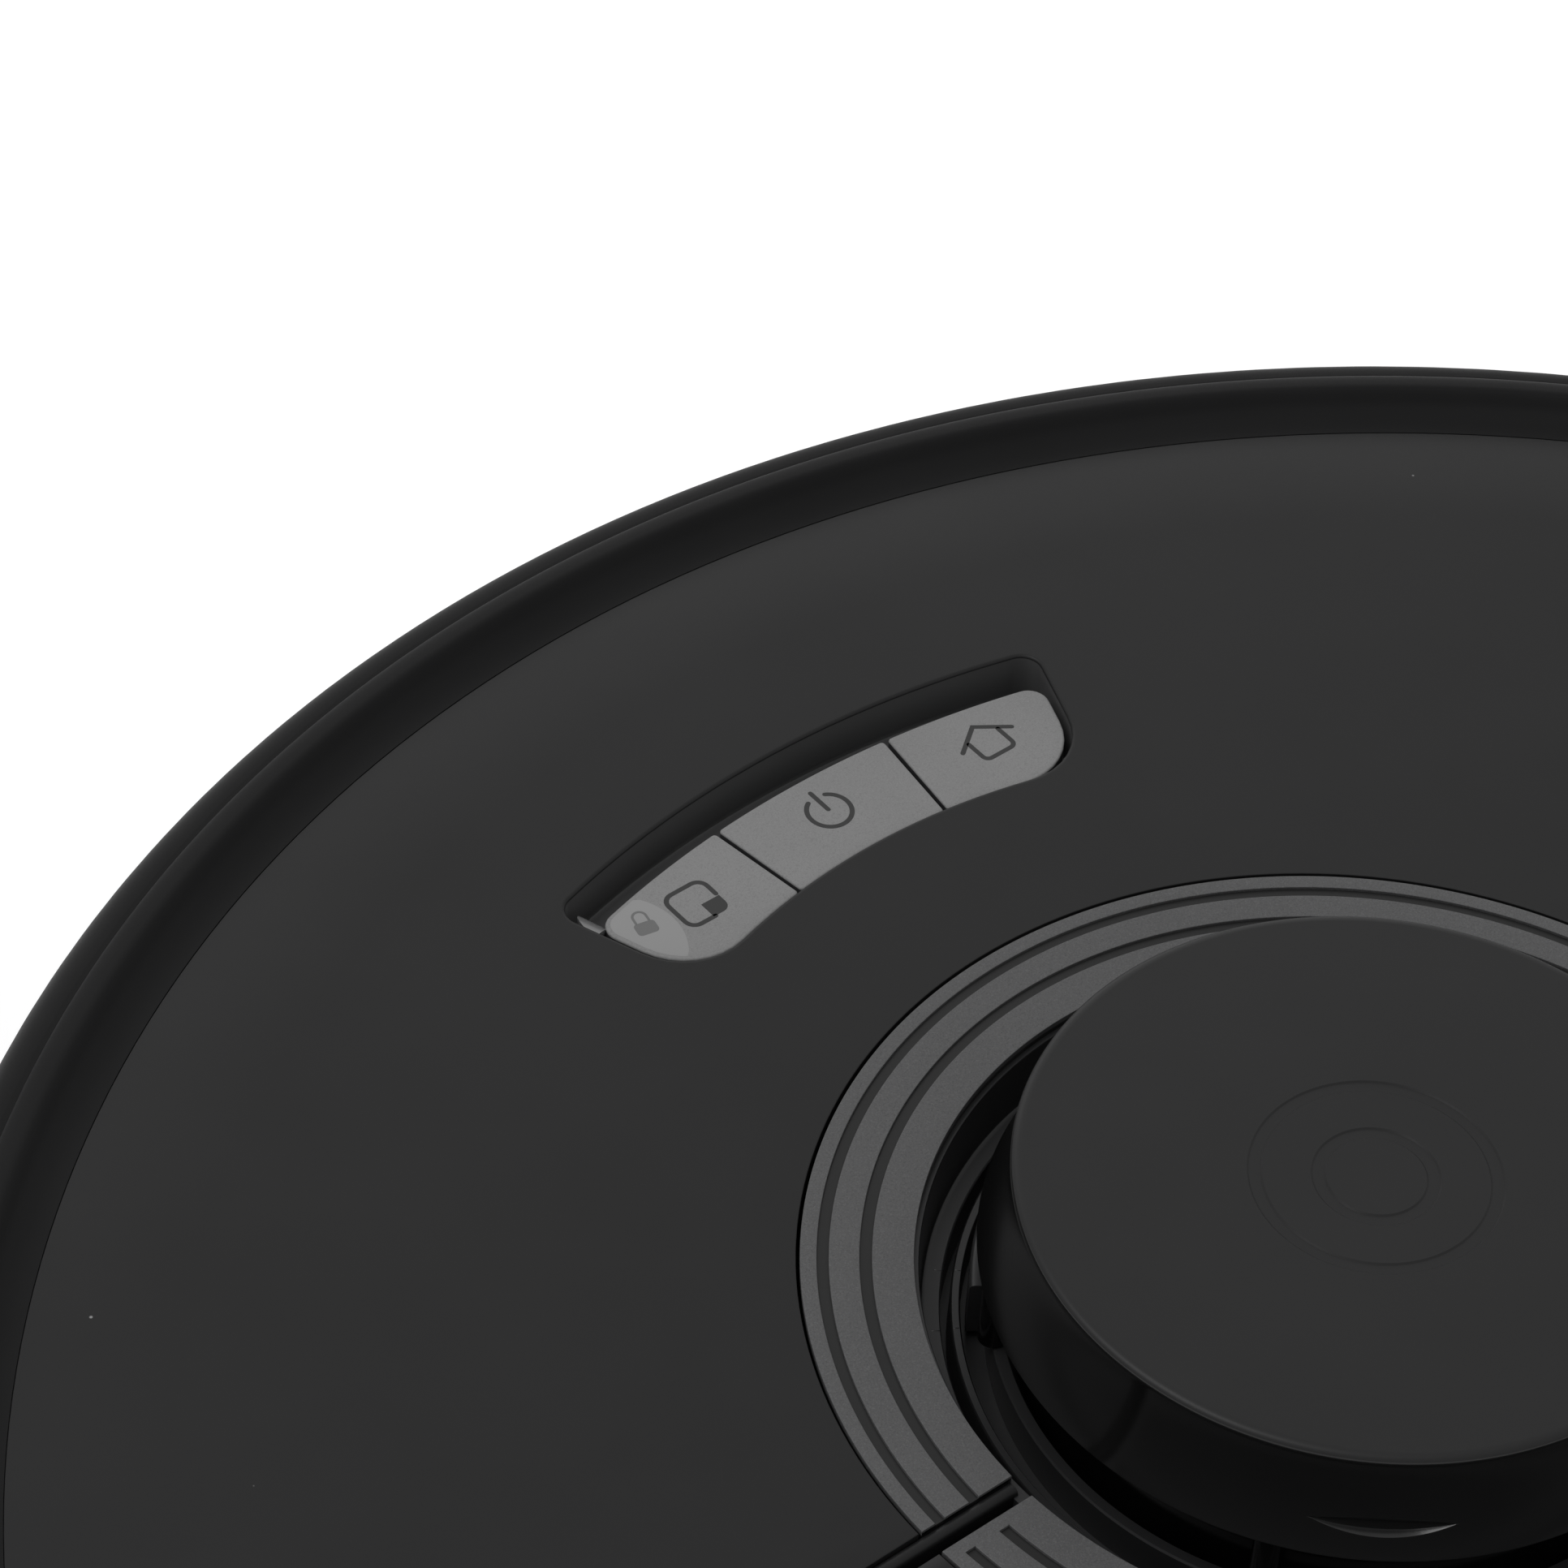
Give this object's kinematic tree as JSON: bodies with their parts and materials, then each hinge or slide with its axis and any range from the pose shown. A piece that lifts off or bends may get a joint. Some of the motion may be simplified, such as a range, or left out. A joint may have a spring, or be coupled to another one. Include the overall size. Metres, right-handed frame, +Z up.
{
  "type": "robot vacuum",
  "caption": "Round floor-cleaning robot with a raised laser turret in a metallic ring, curved top keys, a flip-up bin lid, a sprung bumper and brushes underneath.",
  "frame": {"origin": "on the floor under the centre of the round body", "axes": "+Z up, +Y towards the front where the bumper is, +X to the right"},
  "size_m": [0.35, 0.35, 0.0965],
  "materials": {
    "plate_plastic": "satin moulded plastic, very dark grey",
    "shell_plastic": "satin moulded plastic, near black",
    "gloss_black": "glossy black plastic",
    "cap_plastic": "satin top, glossy skirt, near black",
    "ring_metallic": "grey metallic paint with a fine speckle",
    "key_metallic": "mid grey metallic paint with a fine speckle",
    "window_plastic": "dark infrared-pass plastic",
    "underside_plastic": "fine spark texture, black",
    "inner_plastic": "moulded plastic, dark grey",
    "bin_plastic": "smoked plastic",
    "steel": "bright steel",
    "motor_steel": "zinc plated can",
    "brass": "gold plated contact",
    "rubber": "soft black rubber",
    "tyre": "black rubber with cleats",
    "bristle": "nylon bristle and rubber blade",
    "filter_paper": "pleated filter medium",
    "board_green": "green circuit board with parts",
    "battery_wrap": "blue shrink wrap"
  },
  "bodies": {
    "body": {"front_cover": "plate_plastic", "ring_trim_front": "ring_metallic", "upper_shell": "shell_plastic", "rear_shell": "shell_plastic", "exhaust_grille": "inner_plastic", "chassis": "underside_plastic", "case_screws": "steel", "deck": "inner_plastic", "charging_contacts": "brass", "cliff_sensor_windows": "window_plastic", "bumper_switches": "gloss_black", "speaker": "gloss_black", "key_board": "board_green", "lidar_base": "gloss_black", "lidar_bearing": "steel", "lidar_cap": "cap_plastic", "lidar_motor": "motor_steel", "lidar_belt": "rubber", "lid_hinge_pins": "steel", "fan_housing": "inner_plastic", "fan_motor": "motor_steel", "brush_bearings": "inner_plastic", "brush_housing": "inner_plastic", "brush_guard": "underside_plastic", "brush_motor": "motor_steel", "side_brush_motor": "motor_steel", "suspension_pins": "steel", "battery": "battery_wrap", "battery_cover": "underside_plastic", "main_board": "board_green"},
    "lid": {"bin_lid": "plate_plastic", "ring_trim_rear": "ring_metallic"},
    "bin": {"bin_tub": "bin_plastic", "bin_cover": "inner_plastic", "filter_frame": "inner_plastic", "bin_filter": "filter_paper"},
    "bumper": {"bumper": "shell_plastic", "docking_window": "window_plastic", "wall_sensor_window": "window_plastic"},
    "key_home": {"key_home": "key_metallic"},
    "key_power": {"key_power": "key_metallic"},
    "key_spot": {"key_spot": "key_metallic"},
    "rotor": {"lidar_rotor": "gloss_black", "lidar_windows": "window_plastic"},
    "pulley": {"motor_pulley": "inner_plastic"},
    "impeller": {"fan_impeller": "inner_plastic"},
    "main_brush": {"brush_core": "inner_plastic", "brush_bristles": "bristle"},
    "side_brush": {"side_brush_hub": "inner_plastic", "side_brush_screw": "steel", "side_brush_bristles": "bristle"},
    "arm_left": {"wheel_arm_left": "inner_plastic"},
    "arm_right": {"wheel_arm_right": "inner_plastic"},
    "wheel_left": {"wheel_tyre_left": "tyre", "wheel_hub_left": "inner_plastic"},
    "wheel_right": {"wheel_tyre_right": "tyre", "wheel_hub_right": "inner_plastic"},
    "caster": {"caster_fork": "underside_plastic", "caster_axle": "steel"},
    "caster_roller": {"caster_wheel": "rubber"}
  },
  "joints": [
    {"name": "lid_flip", "type": "hinge", "parent": "body", "child": "lid", "pos_m": [0, 0.0325, 0.079], "axis": [-1, 0, 0], "range_deg": [0, 85]},
    {"name": "bin_lift", "type": "slide", "parent": "body", "child": "bin", "axis": [0, 0, 1], "range_m": [0, 0.068]},
    {"name": "bumper_press", "type": "slide", "parent": "body", "child": "bumper", "axis": [0, -1, 0], "range_m": [0, 0.003], "stiffness_N_per_m": 1500, "springref_m": -0.001},
    {"name": "key_home_press", "type": "slide", "parent": "body", "child": "key_home", "axis": [0, 0, -1], "range_m": [0, 0.0007], "stiffness_N_per_m": 300, "springref_m": -0.0008},
    {"name": "key_power_press", "type": "slide", "parent": "body", "child": "key_power", "axis": [0, 0, -1], "range_m": [0, 0.0007], "stiffness_N_per_m": 300, "springref_m": -0.0008},
    {"name": "key_spot_press", "type": "slide", "parent": "body", "child": "key_spot", "axis": [0, 0, -1], "range_m": [0, 0.0007], "stiffness_N_per_m": 300, "springref_m": -0.0008},
    {"name": "lidar_spin", "type": "hinge", "parent": "body", "child": "rotor", "pos_m": [0, 0.0325, 0.08], "axis": [0, 0, 1], "continuous": true},
    {"name": "pulley_spin", "type": "hinge", "parent": "body", "child": "pulley", "pos_m": [0.05826, 0.05371, 0.067], "axis": [0, 0, 1], "continuous": true},
    {"name": "fan_spin", "type": "hinge", "parent": "body", "child": "impeller", "pos_m": [-0.109, -0.076, 0.037], "axis": [0, 0, 1], "continuous": true},
    {"name": "main_brush_spin", "type": "hinge", "parent": "body", "child": "main_brush", "pos_m": [0, -0.002, 0.0205], "axis": [1, 0, 0], "continuous": true},
    {"name": "side_brush_spin", "type": "hinge", "parent": "body", "child": "side_brush", "pos_m": [0.1, 0.101, 0.005], "axis": [0, 0, 1], "continuous": true},
    {"name": "left_suspension", "type": "hinge", "parent": "body", "child": "arm_left", "pos_m": [-0.105, 0.037, 0.034], "axis": [1, 0, 0], "range_deg": [0, 28], "stiffness_Nm_per_rad": 0.1, "springref_deg": 68.75},
    {"name": "left_wheel_spin", "type": "hinge", "parent": "arm_left", "child": "wheel_left", "pos_m": [-0.111, 0, 0.033], "axis": [1, 0, 0], "continuous": true},
    {"name": "right_suspension", "type": "hinge", "parent": "body", "child": "arm_right", "pos_m": [0.105, 0.037, 0.034], "axis": [1, 0, 0], "range_deg": [0, 28], "stiffness_Nm_per_rad": 0.1, "springref_deg": 68.75},
    {"name": "right_wheel_spin", "type": "hinge", "parent": "arm_right", "child": "wheel_right", "pos_m": [0.111, 0, 0.033], "axis": [1, 0, 0], "continuous": true},
    {"name": "caster_swivel", "type": "hinge", "parent": "body", "child": "caster", "pos_m": [0, 0.136, 0.02], "axis": [0, 0, 1], "continuous": true},
    {"name": "caster_roll", "type": "hinge", "parent": "caster", "child": "caster_roller", "pos_m": [0, 0.131, 0.011], "axis": [1, 0, 0], "continuous": true}
  ],
  "couplings": [
    {"joint": "bin_lift", "follows": "lid_flip", "m_per_rad": 0.045},
    {"joint": "pulley_spin", "follows": "lidar_spin", "ratio": 6}
  ]
}
